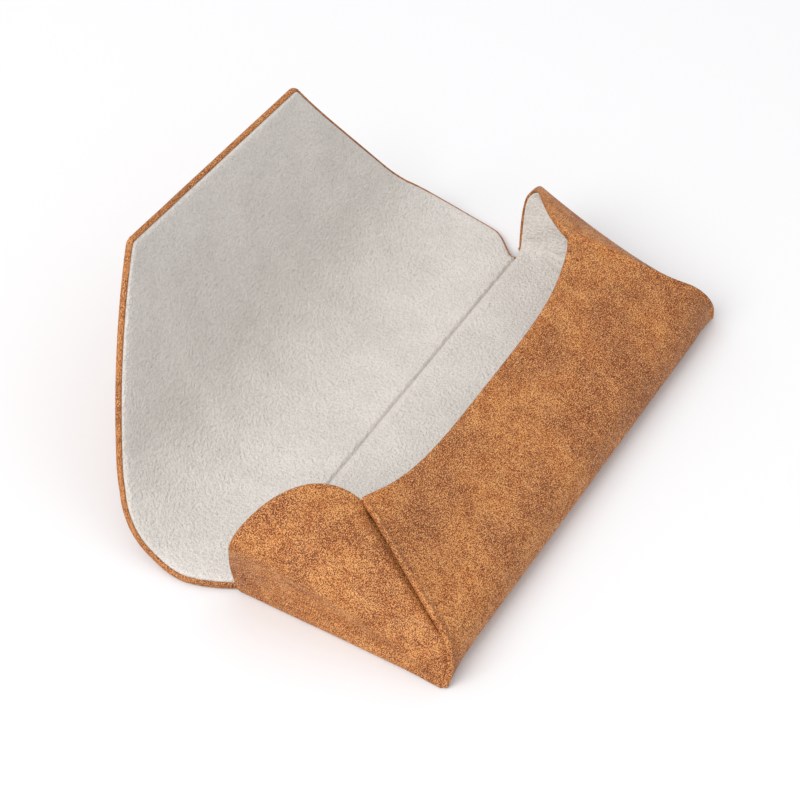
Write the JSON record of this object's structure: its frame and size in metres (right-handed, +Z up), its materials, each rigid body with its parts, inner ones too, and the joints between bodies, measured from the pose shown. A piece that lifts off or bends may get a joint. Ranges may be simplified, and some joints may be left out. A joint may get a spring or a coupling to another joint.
{
  "type": "eyeglasses case",
  "caption": "Soft envelope-style eyeglasses case with a roomy pocket, curled end wings and a long tapering flap that folds over the mouth and holds shut by hidden magnets.",
  "frame": {"origin": "middle of the back panel's underside, on the surface the case lies on", "axes": "+X along the case, +Y from the bottom fold towards the flap, +Z up"},
  "size_m": [0.1774, 0.1262, 0.0717],
  "materials": {
    "leather": "matte caramel brown synthetic leather, mottled and finely speckled darker brown",
    "suede": "warm light grey brushed microfibre suede",
    "board": "pressed fibreboard stiffener",
    "magnet": "nickel-plated magnet disc",
    "tape": "off-white fibre tape"
  },
  "bodies": {
    "pocket": {"back_leather": "leather", "back_board": "board", "back_lining": "suede", "fold_leather": "leather", "fold_lining": "suede", "front_leather": "leather", "front_board": "board", "front_lining": "suede", "mouth_hem": "leather", "front_magnet_left": "magnet", "front_magnet_right": "magnet", "front_magnet_tape": "tape", "left_wing_leather": "leather", "left_wing_board": "board", "left_wing_lining": "suede", "left_wing_hem": "leather", "left_seam_tab": "leather", "right_wing_leather": "leather", "right_wing_board": "board", "right_wing_lining": "suede", "right_wing_hem": "leather", "right_seam_tab": "leather"},
    "band": {"band_leather": "leather", "band_board": "board", "band_lining": "suede", "band_hem": "leather"},
    "roll": {"roll_leather": "leather", "roll_board": "board", "roll_lining": "suede", "roll_hem": "leather"},
    "curl": {"curl_leather": "leather", "curl_board": "board", "curl_lining": "suede", "curl_hem": "leather"},
    "flap": {"flap_leather": "leather", "flap_board": "board", "flap_lining": "suede", "flap_hem": "leather", "flap_magnet_left": "magnet", "flap_magnet_right": "magnet", "flap_magnet_tape": "tape"}
  },
  "joints": [
    {"name": "flap_crease", "type": "hinge", "parent": "pocket", "child": "band", "pos_m": [0, 0.0333, 0.003], "axis": [1, 0, 0], "range_deg": [0, 72]},
    {"name": "band_bend", "type": "hinge", "parent": "band", "child": "roll", "pos_m": [0, 0.0433, 0.0015], "axis": [1, 0, 0], "range_deg": [0, 20]},
    {"name": "flap_curl", "type": "hinge", "parent": "roll", "child": "curl", "pos_m": [0, 0.06765, 0.00866], "axis": [1, 0, 0], "range_deg": [-20, 20]},
    {"name": "flap_curl_upper", "type": "hinge", "parent": "curl", "child": "flap", "pos_m": [0, 0.0748, 0.01668], "axis": [1, 0, 0], "range_deg": [-20, 20]}
  ],
  "couplings": [
    {"joint": "band_bend", "follows": "flap_crease", "ratio": 0.27777},
    {"joint": "flap_curl_upper", "follows": "flap_curl", "ratio": 1}
  ]
}
